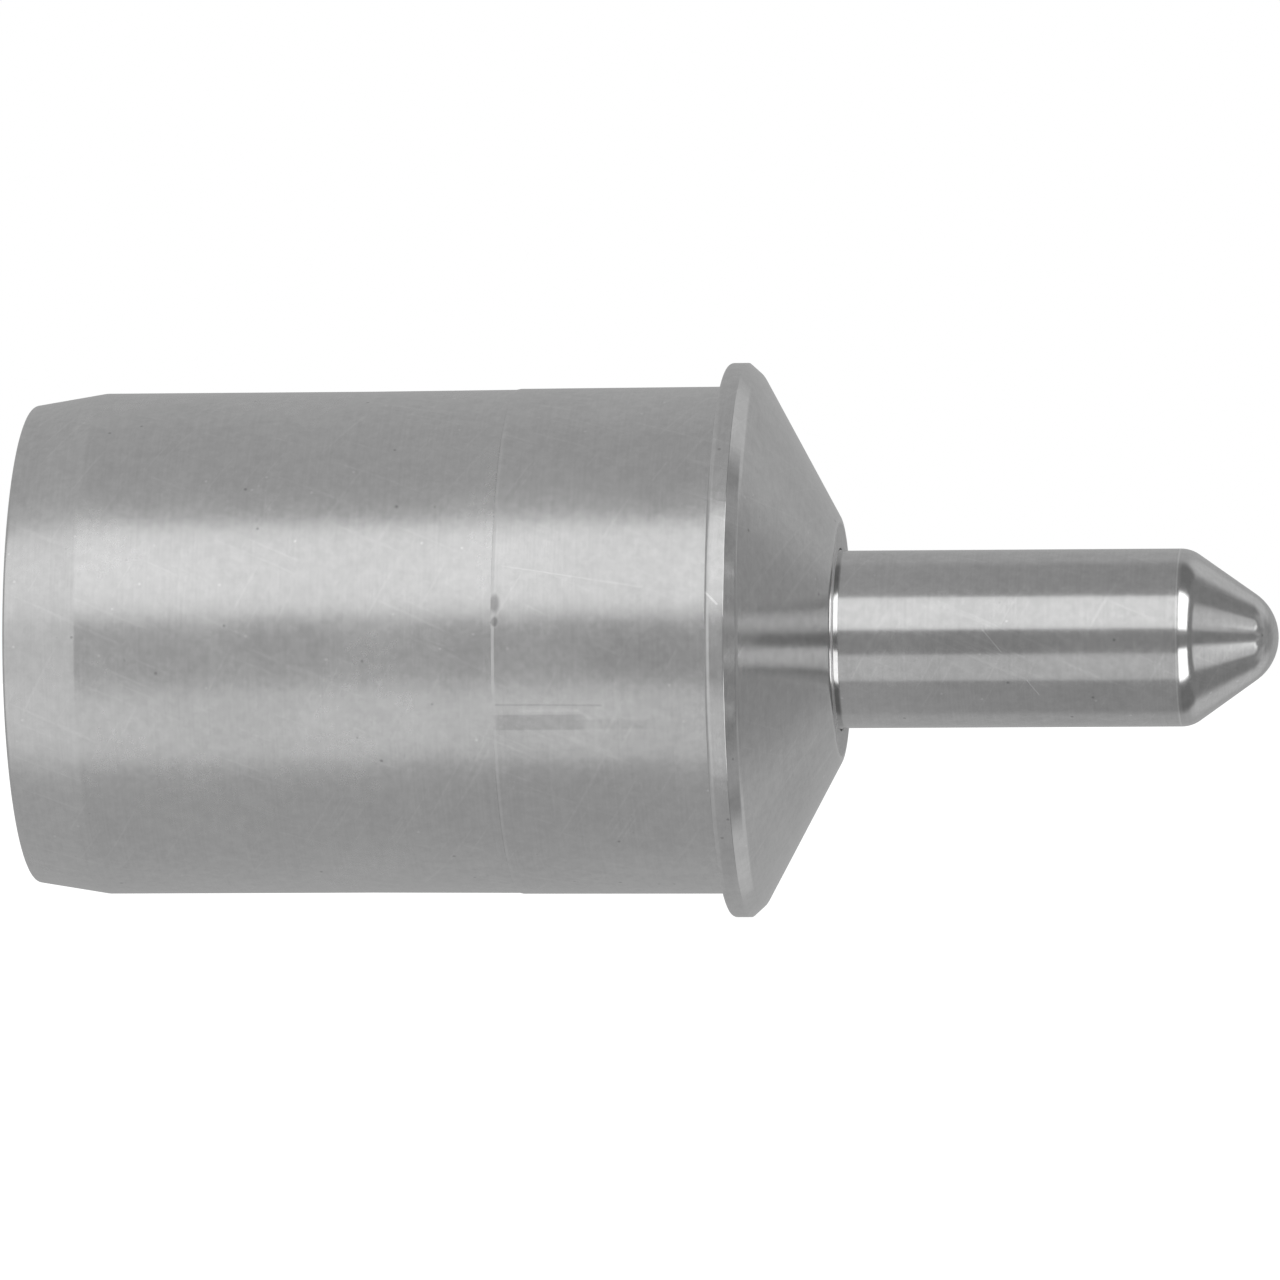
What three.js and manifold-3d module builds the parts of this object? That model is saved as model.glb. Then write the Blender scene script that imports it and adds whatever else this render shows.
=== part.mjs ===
// A spring-loaded live center with a straight barrel, in millimetres.
// The axis is X, and +X points to the workpiece. x = 0 is the seating face behind the flange.
// A slim point turns in a needle bearing in the nose and in a ball bearing and a thrust bearing
// in a quill. The quill slides back 6 mm against a coil spring, and a plug at the rear sets its preload.
import * as THREE from "three";
import { mergeVertices } from "three/addons/utils/BufferGeometryUtils.js";
import Module from "manifold-3d";

const wasm = await Module();
wasm.setup();

// ---- Driving dimensions ----
const barrelRadius = 31.75 / 2; // ground band behind the flange, 1-1/4 in
const sleeveRadius = 31.5 / 2; // rear sleeve, relieved 0.25 mm on diameter
const flangeRadius = 34.7 / 2;
const pointRadius = 11.11 / 2; // slim point, 7/16 in
const journalRadius = 12 / 2; // spindle in the needle bearing
const tailRadius = 8 / 2; // spindle in the ball bearing
const boreRadius = 12.55; // quill bore of the housing

const noseX = 6.87; // flat front end of the nose cone
const jointX = -13.3; // joint between nose body and rear sleeve
const rearX = -43.9; // rear end of the sleeve
const pointConeX = 28.82; // where the point's cylinder and cone would meet
const noseConeAngle = THREE.MathUtils.degToRad(61.5); // half angle of the nose cone
const pointConeAngle = THREE.MathUtils.degToRad(35.3); // half angle of the point's cone
const pointNoseRadius = 3.3; // ball end of the point
const fit = 0.05; // radial gap between parts that sit in each other
const seat = 0.1; // axial gap between parts that rest on each other

// Facets round the axis
const outerFacets = 40;
const innerFacets = 24;

// ---- Materials ----
const steel = (color, roughness) =>
  new THREE.MeshStandardMaterial({ color, roughness, metalness: 1 });
const barrelSteel = steel(0x9c9c9b, 0.38);
const pointSteel = steel(0xa9a9a8, 0.22);
const plugSteel = steel(0x55565a, 0.5);
const bearingSteel = steel(0xb4b5b8, 0.15);
const springSteel = steel(0x6f7178, 0.35);
const brass = new THREE.MeshStandardMaterial({ color: 0xb5913f, roughness: 0.4, metalness: 1 });
const rubber = new THREE.MeshStandardMaterial({ color: 0x1b1b1c, roughness: 0.8, metalness: 0 });

// ---- Shape helpers ----
const group = new THREE.Group();

function add(name, geometry, material) {
  const mesh = new THREE.Mesh(geometry, material);
  mesh.name = name;
  group.add(mesh);
  return mesh;
}

// A body turned about X from its half section, a list of [x, radius] points that runs
// from rear to front along the outside, and back along the inside if the body has a bore.
function turned(section, facets = innerFacets) {
  const points = section.map(([x, radius]) => new THREE.Vector2(radius, x));
  return new THREE.LatheGeometry(points, facets).rotateZ(-Math.PI / 2);
}

// A plain ring between two x values and two radii.
function ringSection(rear, front, inner, outer) {
  return [[rear, inner], [rear, outer], [front, outer], [front, inner], [rear, inner]];
}

// Points of an arc in the half section. Angles are in degrees, from +X towards larger radius.
function arc(centreX, centreRadius, radius, fromAngle, toAngle, steps) {
  return Array.from({ length: steps + 1 }, (_, i) => {
    const angle = THREE.MathUtils.degToRad(fromAngle + ((toAngle - fromAngle) * i) / steps);
    return [centreX + radius * Math.cos(angle), centreRadius + radius * Math.sin(angle)];
  });
}

function toSolid(geometry) {
  const bare = geometry.clone();
  bare.deleteAttribute("normal");
  bare.deleteAttribute("uv");
  const merged = mergeVertices(bare, 1e-4);
  return new wasm.Manifold(
    new wasm.Mesh({
      numProp: 3,
      vertProperties: new Float32Array(merged.attributes.position.array),
      triVerts: new Uint32Array(merged.index.array),
    }),
  );
}

function toGeometry(solid) {
  const mesh = solid.getMesh();
  return new THREE.BufferGeometry()
    .setAttribute("position", new THREE.BufferAttribute(new Float32Array(mesh.vertProperties), 3))
    .setIndex(new THREE.BufferAttribute(new Uint32Array(mesh.triVerts), 1));
}

// The body less every cutter.
function cut(geometry, cutters) {
  return toGeometry(cutters.reduce((body, cutter) => body.subtract(toSolid(cutter)), toSolid(geometry)));
}

// Calls make for each of count places spread evenly round the axis, with its angle.
function aroundAxis(count, make) {
  return Array.from({ length: count }, (_, i) => make((2 * Math.PI * i) / count, i));
}

function place(geometry, x, radius, angle) {
  return geometry.translate(x, radius, 0).rotateX(angle);
}

// A ring cut open on one side, with a lug at each end: a retaining ring.
function retainingRing(inner, outer, lugInner, lugOuter, rear) {
  const thickness = 0.8;
  const gapAngle = 0.28;
  const lugAngle = 0.62;
  const shape = new THREE.Shape();
  shape.absarc(0, 0, outer, lugAngle, 2 * Math.PI - lugAngle, false);
  shape.absarc(0, 0, lugOuter, -lugAngle, -gapAngle, false);
  shape.absarc(0, 0, lugInner, -gapAngle, -lugAngle, true);
  shape.absarc(0, 0, inner, 2 * Math.PI - lugAngle, lugAngle, true);
  shape.absarc(0, 0, lugInner, lugAngle, gapAngle, true);
  shape.absarc(0, 0, lugOuter, gapAngle, lugAngle, false);
  const ring = new THREE.ExtrudeGeometry(shape, { depth: thickness, bevelEnabled: false, curveSegments: 7 });
  return ring.rotateY(Math.PI / 2).translate(rear, 0, 0);
}

// ---- Housing ----
const needleBearing = { rear: -8.9, front: 3.0, outer: 9 - fit, shell: 0.8, lip: 6.6 };
const quill = { front: -9.6, flange: 3, rear: -26, bodyRadius: 9.6, boreRadius: 8, wall: 2.5 };
const spigot = { radius: 14, rear: -22.5 };
const sealPocket = { rear: 3.1, front: 5.5, radius: 8 };
const noseLipRadius = 6.35;

function noseBody() {
  const rimWidth = 1.2;
  const leadSlope = Math.tan(THREE.MathUtils.degToRad(42)); // narrow lead between the rim and the cone
  const backRound = 0.2;
  const edge = 0.25;
  const coneSlope = Math.tan(noseConeAngle);
  const noseRadius = 7.62;
  const leadX =
    (noseRadius + noseX * coneSlope - flangeRadius - rimWidth * leadSlope) / (coneSlope - leadSlope);
  return turned(
    [
      [spigot.rear, boreRadius],
      [spigot.rear, spigot.radius - edge],
      [spigot.rear + edge, spigot.radius],
      [jointX, spigot.radius],
      [jointX, barrelRadius],
      [0, barrelRadius],
      ...arc(backRound, flangeRadius - backRound, backRound, 180, 90, 3),
      [rimWidth, flangeRadius],
      [leadX, flangeRadius - (leadX - rimWidth) * leadSlope],
      [noseX - edge / coneSlope, noseRadius + edge],
      [noseX, noseRadius - edge],
      [noseX, noseLipRadius + edge],
      [noseX - edge, noseLipRadius],
      [sealPocket.front, noseLipRadius],
      [sealPocket.front, sealPocket.radius],
      [sealPocket.rear, sealPocket.radius],
      [sealPocket.rear, needleBearing.outer + fit],
      [quill.front + seat, needleBearing.outer + fit],
      [quill.front + seat, boreRadius],
      [spigot.rear, boreRadius],
    ],
    outerFacets,
  );
}

const plug = { radius: 12.95, rear: -41.5, front: -38.5 };
const lockRing = { rear: -43.6, front: -41.6, radius: 12.95, hole: 6.2 };

function rearSleeve() {
  // The last few millimetres taper down to the rear end.
  const taper = { front: -38.7, middle: -40, middleRadius: 15.6, endRadius: 14.98 };
  const threadRadius = 13;
  const cornerRound = 0.25;
  const chamfer = 0.4;
  const spigotGap = 0.2;
  return turned(
    [
      [rearX + chamfer, threadRadius],
      [rearX, threadRadius + chamfer],
      ...arc(rearX + cornerRound, taper.endRadius - cornerRound, cornerRound, 180, 100, 3),
      [taper.middle, taper.middleRadius],
      [taper.front, sleeveRadius],
      [jointX - seat / 2, sleeveRadius],
      [jointX - seat / 2, spigot.radius + fit],
      [spigot.rear - spigotGap, spigot.radius + fit],
      [spigot.rear - spigotGap, boreRadius + fit],
      [plug.front + chamfer, boreRadius + fit],
      [plug.front + chamfer, threadRadius],
      [rearX + chamfer, threadRadius],
    ],
    outerFacets,
  );
}

function adjustingPlug() {
  const centreHole = { radius: 2, depth: 1.4 };
  const spannerHole = { radius: 1.5, pitch: 4.2, depth: 2 };
  const chamfer = 0.3;
  const body = turned(
    [
      [plug.rear + centreHole.depth, 0],
      [plug.rear, centreHole.radius],
      [plug.rear, plug.radius - chamfer],
      [plug.rear + chamfer, plug.radius],
      [plug.front, plug.radius],
      [plug.front, 0],
    ],
    outerFacets,
  );
  const { radius, pitch, depth } = spannerHole;
  const drills = aroundAxis(2, (angle) => {
    const drill = new THREE.CylinderGeometry(radius, radius, 2 * depth, 16).rotateZ(Math.PI / 2);
    return place(drill, plug.rear, pitch, angle);
  });
  return cut(body, drills);
}

function lockingRing() {
  const { rear, front, radius, hole } = lockRing;
  const slot = { width: 3, depth: 1.2, length: 2.5 };
  const slots = aroundAxis(4, (angle) =>
    place(new THREE.BoxGeometry(2 * slot.depth, 2 * slot.length, slot.width), rear, radius, angle),
  );
  return cut(turned(ringSection(rear, front, hole, radius), outerFacets), slots);
}

function wiperSeal() {
  const lip = { clearance: 0.08, depth: 0.5, setback: 0.7 };
  const lipRadius = journalRadius + lip.clearance;
  const waistRadius = lipRadius + lip.depth;
  const lipX = sealPocket.front - lip.setback;
  return turned([
    [sealPocket.rear + seat, waistRadius],
    [sealPocket.rear + seat, sealPocket.radius - fit],
    [sealPocket.front - seat, sealPocket.radius - fit],
    [sealPocket.front - seat, lipRadius + seat],
    [lipX, lipRadius],
    [lipX - lip.depth, waistRadius],
    [sealPocket.rear + seat, waistRadius],
  ]);
}

add("nose_body", noseBody(), barrelSteel);
add("rear_sleeve", rearSleeve(), barrelSteel);
add("adjusting_plug", adjustingPlug(), plugSteel);
add("lock_ring", lockingRing(), plugSteel);
add("wiper_seal", wiperSeal(), rubber);

// ---- Needle bearing in the nose ----
const needle = { count: 12, radius: 1, pitch: 7.06, rear: -7, front: 1.1 };
const pocketGap = 0.1; // between a rolling element and its cage

function needleShell() {
  const { rear, front, outer, shell, lip } = needleBearing;
  return turned([
    [rear, lip],
    [rear, outer],
    [front, outer],
    [front, lip],
    [front - shell, lip],
    [front - shell, outer - shell],
    [rear + shell, outer - shell],
    [rear + shell, lip],
    [rear, lip],
  ]);
}

function needleRoller(angle, clearance = 0) {
  const radius = needle.radius + clearance;
  const length = needle.front - needle.rear + 2 * clearance;
  const roller = new THREE.CylinderGeometry(radius, radius, length, 10).rotateZ(Math.PI / 2);
  return place(roller, (needle.front + needle.rear) / 2, needle.pitch, angle);
}

function needleCage() {
  const cage = { inner: 6.5, outer: 7.6, endRing: 0.9 };
  const ring = ringSection(needle.rear - cage.endRing, needle.front + cage.endRing, cage.inner, cage.outer);
  return cut(turned(ring), aroundAxis(needle.count, (angle) => needleRoller(angle, pocketGap)));
}

add("needle_bearing_shell", needleShell(), bearingSteel);
add("needle_bearing_cage", needleCage(), springSteel);
aroundAxis(needle.count, (angle, i) => add(`needle_${i + 1}`, needleRoller(angle), bearingSteel));

// ---- Quill, and the bearings in it ----
const ball = { count: 8, radius: 1.16, pitch: 6 };
const groove = ball.radius + 0.09; // race radius
const ballBearing = { rear: -16.3, front: -11.3, innerRing: 5.15, outerRing: 6.85 };
const bearingMiddle = (ballBearing.rear + ballBearing.front) / 2;
const ballBearingCage = { halfWidth: 1.7, inner: 5.5, outer: 6.5 };
const clipGroove = { rear: -11.2, front: -10.3, radius: 8.5 };
const quillClip = { inner: 7, lugInner: 6.1 };
const thrust = { rear: -23.4, front: -18.5, middle: -21, washer: 1.6 };
const thrustCage = { halfWidth: 0.5, inner: 4.3, outer: 7.7 };
const spacerRadius = 5.1;

function quillBody() {
  const bearingRadius = quill.boreRadius;
  const tailHole = 5;
  return turned([
    [quill.rear, tailHole],
    [quill.rear, quill.bodyRadius],
    [quill.front - quill.flange, quill.bodyRadius],
    [quill.front - quill.flange, boreRadius - 2 * fit],
    [quill.front, boreRadius - 2 * fit],
    [quill.front, bearingRadius],
    [clipGroove.front, bearingRadius],
    [clipGroove.front, clipGroove.radius],
    [clipGroove.rear, clipGroove.radius],
    [clipGroove.rear, bearingRadius],
    [quill.rear + quill.wall, bearingRadius],
    [quill.rear + quill.wall, tailHole],
    [quill.rear, tailHole],
  ]);
}

function ballOuterRing() {
  const inner = ballBearing.outerRing;
  const open = THREE.MathUtils.radToDeg(Math.acos((inner - ball.pitch) / groove));
  return turned([
    [ballBearing.rear, inner],
    [ballBearing.rear, quill.boreRadius - fit],
    [ballBearing.front, quill.boreRadius - fit],
    [ballBearing.front, inner],
    ...arc(bearingMiddle, ball.pitch, groove, 90 - open, 90 + open, 4),
    [ballBearing.rear, inner],
  ]);
}

function ballInnerRing() {
  const outer = ballBearing.innerRing;
  const open = THREE.MathUtils.radToDeg(Math.acos((ball.pitch - outer) / groove));
  return turned([
    [ballBearing.rear, tailRadius + fit],
    [ballBearing.rear, outer],
    ...arc(bearingMiddle, ball.pitch, groove, 270 - open, 270 + open, 4),
    [ballBearing.front, outer],
    [ballBearing.front, tailRadius + fit],
    [ballBearing.rear, tailRadius + fit],
  ]);
}

function bearingBall(x, angle, clearance = 0) {
  return place(new THREE.SphereGeometry(ball.radius + clearance, 10, 6), x, ball.pitch, angle);
}

// A flat or tubular cage with a pocket for each ball.
function ballCage(middle, { halfWidth, inner, outer }) {
  const ring = turned(ringSection(middle - halfWidth, middle + halfWidth, inner, outer));
  return cut(ring, aroundAxis(ball.count, (angle) => bearingBall(middle, angle, pocketGap)));
}

// A grooved washer of the thrust bearing. side is 1 where its groove faces the front.
function thrustWasher(rear, front, inner, outer, side) {
  const grooveFace = side > 0 ? front : rear;
  const open = THREE.MathUtils.radToDeg(Math.acos(Math.abs(grooveFace - thrust.middle) / groove));
  const grooveArc =
    side > 0
      ? arc(thrust.middle, ball.pitch, groove, 180 - open, 180 + open, 4)
      : arc(thrust.middle, ball.pitch, groove, -open, open, 4);
  return turned(
    side > 0
      ? [[rear, inner], [rear, outer], [front, outer], ...grooveArc, [front, inner], [rear, inner]]
      : [[rear, inner], ...grooveArc, [rear, outer], [front, outer], [front, inner], [rear, inner]],
  );
}

const clipRadius = clipGroove.radius - 3 * fit;
const clip = retainingRing(
  quillClip.inner,
  clipRadius,
  quillClip.lugInner,
  clipRadius,
  clipGroove.rear + seat / 2,
);
const spacer = ringSection(thrust.front + seat, ballBearing.rear - seat, tailRadius + fit, spacerRadius);
const shaftWasher = thrustWasher(
  thrust.front - thrust.washer,
  thrust.front,
  tailRadius + fit,
  thrustCage.outer + fit,
  -1,
);
const housingWasher = thrustWasher(
  thrust.rear,
  thrust.rear + thrust.washer - seat,
  thrustCage.inner,
  quill.boreRadius - fit,
  1,
);

add("quill", quillBody(), plugSteel);
add("quill_retaining_ring", clip, springSteel);
add("ball_bearing_outer_ring", ballOuterRing(), bearingSteel);
add("ball_bearing_inner_ring", ballInnerRing(), bearingSteel);
add("ball_bearing_cage", ballCage(bearingMiddle, ballBearingCage), brass);
aroundAxis(ball.count, (angle, i) =>
  add(`bearing_ball_${i + 1}`, bearingBall(bearingMiddle, angle), bearingSteel),
);
add("spacer_sleeve", turned(spacer), plugSteel);
add("thrust_shaft_washer", shaftWasher, bearingSteel);
add("thrust_housing_washer", housingWasher, bearingSteel);
add("thrust_bearing_cage", ballCage(thrust.middle, thrustCage), brass);
aroundAxis(ball.count, (angle, i) =>
  add(`thrust_ball_${i + 1}`, bearingBall(thrust.middle, angle), bearingSteel),
);

// ---- Spindle with its slim point ----
const tailWasher = { rear: -26.9, front: -26.1, radius: 6.5 };
const tailClip = { rear: -27.8, front: -27, radius: 5, lugRadius: 5.6 };
const tailGrooveRadius = 3.6;

function centerPoint() {
  const tailEnd = -28.4;
  const chamfer = 0.4;
  const rootFillet = journalRadius - pointRadius;
  const rootX = noseX + 0.25; // where the slim point's cylinder starts
  const shoulderRound = 2;
  const coneDegrees = THREE.MathUtils.radToDeg(pointConeAngle);
  const tangent = shoulderRound * Math.tan(pointConeAngle / 2);
  const ballCentreX =
    pointConeX + pointRadius / Math.tan(pointConeAngle) - pointNoseRadius / Math.sin(pointConeAngle);
  return turned(
    [
      [tailEnd, 0],
      [tailEnd, tailRadius - chamfer],
      [tailEnd + chamfer, tailRadius],
      [tailClip.rear - fit, tailRadius],
      [tailClip.rear - fit, tailGrooveRadius],
      [tailClip.front + fit, tailGrooveRadius],
      [tailClip.front + fit, tailRadius],
      [ballBearing.front + seat, tailRadius],
      [ballBearing.front + seat, journalRadius],
      ...arc(rootX, journalRadius, rootFillet, 180, 270, 3),
      ...arc(pointConeX - tangent, pointRadius - shoulderRound, shoulderRound, 90, 90 - coneDegrees, 3),
      ...arc(ballCentreX, 0, pointNoseRadius, 90 - coneDegrees, 0, 5),
    ],
    outerFacets,
  );
}

const clipBore = tailGrooveRadius + fit;
const washerSection = ringSection(tailWasher.rear, tailWasher.front, tailRadius + fit, tailWasher.radius);
const tailRing = retainingRing(clipBore, tailClip.radius, clipBore, tailClip.lugRadius, tailClip.rear);
add("center_point", centerPoint(), pointSteel);
add("tail_washer", turned(washerSection), plugSteel);
add("tail_retaining_ring", tailRing, springSteel);

// ---- Spring pack ----
const spring = { wire: 1.1, radius: 11.1, rear: -37.3, front: -12.7, turns: 7 };

// The centre line of a spring with one closed turn at each end.
class SpringCurve extends THREE.Curve {
  getPoint(t, target = new THREE.Vector3()) {
    const turn = t * spring.turns;
    const first = spring.rear + spring.wire;
    const last = spring.front - spring.wire;
    const closedPitch = 2 * spring.wire + 3 * fit;
    const openTurns = spring.turns - 2;
    const openPitch = (last - first - 2 * closedPitch) / openTurns;
    const open = THREE.MathUtils.clamp(turn - 1, 0, openTurns);
    const x = first + closedPitch * (turn - open) + openPitch * open;
    const angle = 2 * Math.PI * turn;
    return target.set(x, spring.radius * Math.cos(angle), spring.radius * Math.sin(angle));
  }
}

function coilSpring() {
  const wireSides = 6;
  const section = new THREE.Shape(
    Array.from({ length: wireSides }, (_, i) => {
      const angle = (2 * Math.PI * i) / wireSides;
      return new THREE.Vector2(spring.wire * Math.cos(angle), spring.wire * Math.sin(angle));
    }),
  );
  return new THREE.ExtrudeGeometry(section, {
    steps: spring.turns * 12,
    extrudePath: new SpringCurve(),
    bevelEnabled: false,
  });
}

const springWasherBore = 9.5;
const springSeat = ringSection(
  plug.front + seat,
  spring.rear - seat,
  springWasherBore,
  boreRadius - 2 * fit,
);
add("coil_spring", coilSpring(), springSteel);
add("spring_washer", turned(springSeat), plugSteel);

export default group;
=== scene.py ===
"""A spring-loaded live center with a straight barrel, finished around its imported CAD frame.

The axis is X, +X points to the workpiece, and x = 0 is the seating face behind the flange.
Each piece is turned, wound or cut as a fine mesh that stands for its CAD node. Half sections
are written in millimetres as (x, radius) points, and meshes are in metres.
"""
import math

import bmesh
import bpy
from mathutils import Matrix, Vector


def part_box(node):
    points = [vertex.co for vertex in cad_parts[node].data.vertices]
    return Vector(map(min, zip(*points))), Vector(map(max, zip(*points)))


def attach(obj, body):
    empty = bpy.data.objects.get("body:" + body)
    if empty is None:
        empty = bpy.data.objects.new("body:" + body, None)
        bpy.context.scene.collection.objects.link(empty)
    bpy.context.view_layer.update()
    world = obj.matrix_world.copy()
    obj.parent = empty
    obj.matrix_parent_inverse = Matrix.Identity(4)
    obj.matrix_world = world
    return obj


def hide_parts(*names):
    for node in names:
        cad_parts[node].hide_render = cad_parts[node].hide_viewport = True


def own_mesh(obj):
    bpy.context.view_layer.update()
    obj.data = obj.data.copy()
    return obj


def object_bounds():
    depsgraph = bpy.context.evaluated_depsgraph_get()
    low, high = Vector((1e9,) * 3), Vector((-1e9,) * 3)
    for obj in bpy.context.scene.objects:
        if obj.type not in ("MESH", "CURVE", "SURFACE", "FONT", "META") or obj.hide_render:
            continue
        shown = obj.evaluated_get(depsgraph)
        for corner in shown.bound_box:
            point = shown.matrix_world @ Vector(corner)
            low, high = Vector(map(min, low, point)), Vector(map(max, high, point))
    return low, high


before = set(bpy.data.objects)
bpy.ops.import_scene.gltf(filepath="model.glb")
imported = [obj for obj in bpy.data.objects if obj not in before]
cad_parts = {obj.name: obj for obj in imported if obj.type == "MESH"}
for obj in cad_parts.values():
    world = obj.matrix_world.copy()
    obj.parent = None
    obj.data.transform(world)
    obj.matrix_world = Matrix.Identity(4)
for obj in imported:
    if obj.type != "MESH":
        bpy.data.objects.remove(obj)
CAD_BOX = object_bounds()
MM = 0.001

# ---- Driving dimensions, in millimetres. The rest comes from the frame. ----
BARREL_RADIUS = 15.875
POINT_RADIUS = 5.555
JOURNAL_RADIUS = 6.0
NECK_RADIUS = 5.67  # of the spindle inside the nose's lip
TAIL_RADIUS = 4.0
POINT_NOSE_RADIUS = 3.3
POINT_CONE_X = 28.82  # where the point's cylinder and cone would meet
NOSE_CONE_ANGLE = math.radians(61.5)
POINT_CONE_ANGLE = math.radians(35.3)
NOSE_FACE_RADIUS = 7.62
BORE_RADIUS = 12.55
SPIGOT_RADIUS = 14.0  # of the nose body's rear end, which the sleeve fits over
FIT = 0.05

SEGMENTS = 256  # facets round a large turned piece
SMALL_SEGMENTS = 128
EDGE = 0.1  # usual broken edge
# A flat face is divided this far outside a cut, so that the cut's edges bevel cleanly.
CUT_MARGIN = 0.2


def extent(node):
    """Rear end, front end and largest radius of a CAD node, in millimetres."""
    low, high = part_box(node)
    return low.x / MM, high.x / MM, high.z / MM


def turn_to(node):
    """The turn about X that takes +Z to the centre of a CAD node."""
    low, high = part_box(node)
    centre = (low + high) / 2
    return Matrix.Rotation(math.atan2(-centre.y, centre.z), 4, "X")


# ---- Half sections ----
def arc(x, radius, size, start, end, steps=10):
    """Points of an arc about (x, radius). Angles are in degrees, from +X towards larger radius."""
    angles = [math.radians(start + (end - start) * i / steps) for i in range(steps + 1)]
    return [(x + size * math.cos(a), radius + size * math.sin(a)) for a in angles]


def rounded(corners, closed=True, steps=5):
    """A half section whose corners, (x, radius, rounding), are rounded off.

    A short straight piece beside each rounding keeps long faces flat when they are shaded smooth.
    """
    points = []
    count = len(corners)
    for i, (x, radius, rounding) in enumerate(corners):
        here = Vector((x, radius))
        if rounding == 0 or (not closed and i in (0, count - 1)):
            points.append((x, radius))
            continue
        before = Vector(corners[i - 1][:2]) - here
        after = Vector(corners[(i + 1) % count][:2]) - here
        room = 0.45 * min(before.length, after.length)
        before.normalize()
        after.normalize()
        half = before.angle(after) / 2
        reach = min(rounding / math.tan(half), room)
        size = reach * math.tan(half)
        centre = here + (before + after).normalized() * size / math.sin(half)
        first = here + before * reach - centre
        turn = first.angle_signed(here + after * reach - centre)
        support = min(0.3 * size, 0.1 * room)
        points.append(tuple(here + before * (reach + support)))
        for k in range(steps + 1):
            spoke = Matrix.Rotation(-turn * k / steps, 2) @ first
            points.append(tuple(centre + spoke))
        points.append(tuple(here + after * (reach + support)))
    return points


def ring_corners(rear, front, inner, outer, edge=EDGE):
    """Corners of a plain ring."""
    return [(rear, inner, edge), (rear, outer, edge), (front, outer, edge), (front, inner, edge)]


# ---- Meshes ----
def to_object(name, bm, material):
    """A smooth-shaded object made of a bmesh."""
    bmesh.ops.recalc_face_normals(bm, faces=bm.faces)
    mesh = bpy.data.meshes.new(name)
    bm.to_mesh(mesh)
    bm.free()
    for polygon in mesh.polygons:
        polygon.use_smooth = True
    mesh.materials.append(material)
    piece = bpy.data.objects.new(name, mesh)
    bpy.context.scene.collection.objects.link(piece)
    return piece


def lathe(section, segments, closed):
    """A bmesh turned about X.

    A closed section makes a ring. An open one starts and ends on the axis.
    """
    bm = bmesh.new()
    rings = []
    for x, radius in section:
        if radius < 1e-6:
            rings.append([bm.verts.new((x * MM, 0, 0))])
            continue
        ring = []
        for k in range(segments):
            angle = 2 * math.pi * k / segments
            place = (x * MM, radius * math.sin(angle) * MM, radius * math.cos(angle) * MM)
            ring.append(bm.verts.new(place))
        rings.append(ring)
    pairs = list(zip(rings, rings[1:]))
    if closed:
        pairs.append((rings[-1], rings[0]))
    for one, two in pairs:
        for k in range(segments):
            follow = (k + 1) % segments
            if len(one) == 1:
                bm.faces.new((one[0], two[follow], two[k]))
            elif len(two) == 1:
                bm.faces.new((one[k], one[follow], two[0]))
            else:
                bm.faces.new((one[k], one[follow], two[follow], two[k]))
    return bm


def turned(name, section, material, segments=SMALL_SEGMENTS, closed=True):
    """An object turned about X from a half section."""
    return to_object(name, lathe(section, segments, closed), material)


def cut(piece, cutters, edge=0.06):
    """Takes the cutters out of the piece, and breaks the edges that this leaves.

    Faces square to the axis are shaded flat, because the cuts leave long thin faces in them.
    """
    for cutter in cutters:
        modifier = piece.modifiers.new("cut", "BOOLEAN")
        modifier.object = cutter
        modifier.solver = "EXACT"
    bevel = piece.modifiers.new("edges", "BEVEL")
    bevel.width = edge * MM
    bevel.segments = 2
    bevel.angle_limit = math.radians(40)
    bevel.use_clamp_overlap = True
    bpy.context.view_layer.update()
    evaluated = piece.evaluated_get(bpy.context.evaluated_depsgraph_get())
    result = bpy.data.meshes.new_from_object(evaluated)
    for polygon in result.polygons:
        polygon.use_smooth = abs(polygon.normal.x) < 0.999
    piece.modifiers.clear()
    piece.data = result
    for cutter in cutters:
        bpy.data.objects.remove(cutter)


def around_axis(count, make):
    """Calls make with the turn about X of each of count even places, and lists the results."""
    return [make(Matrix.Rotation(2 * math.pi * i / count, 4, "X")) for i in range(count)]


def stand_for(piece, body, slot, *nodes):
    """Ties a piece to its body and its CAD nodes. slot, its finish, is not used."""
    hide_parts(*nodes)
    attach(piece, body)


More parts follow.
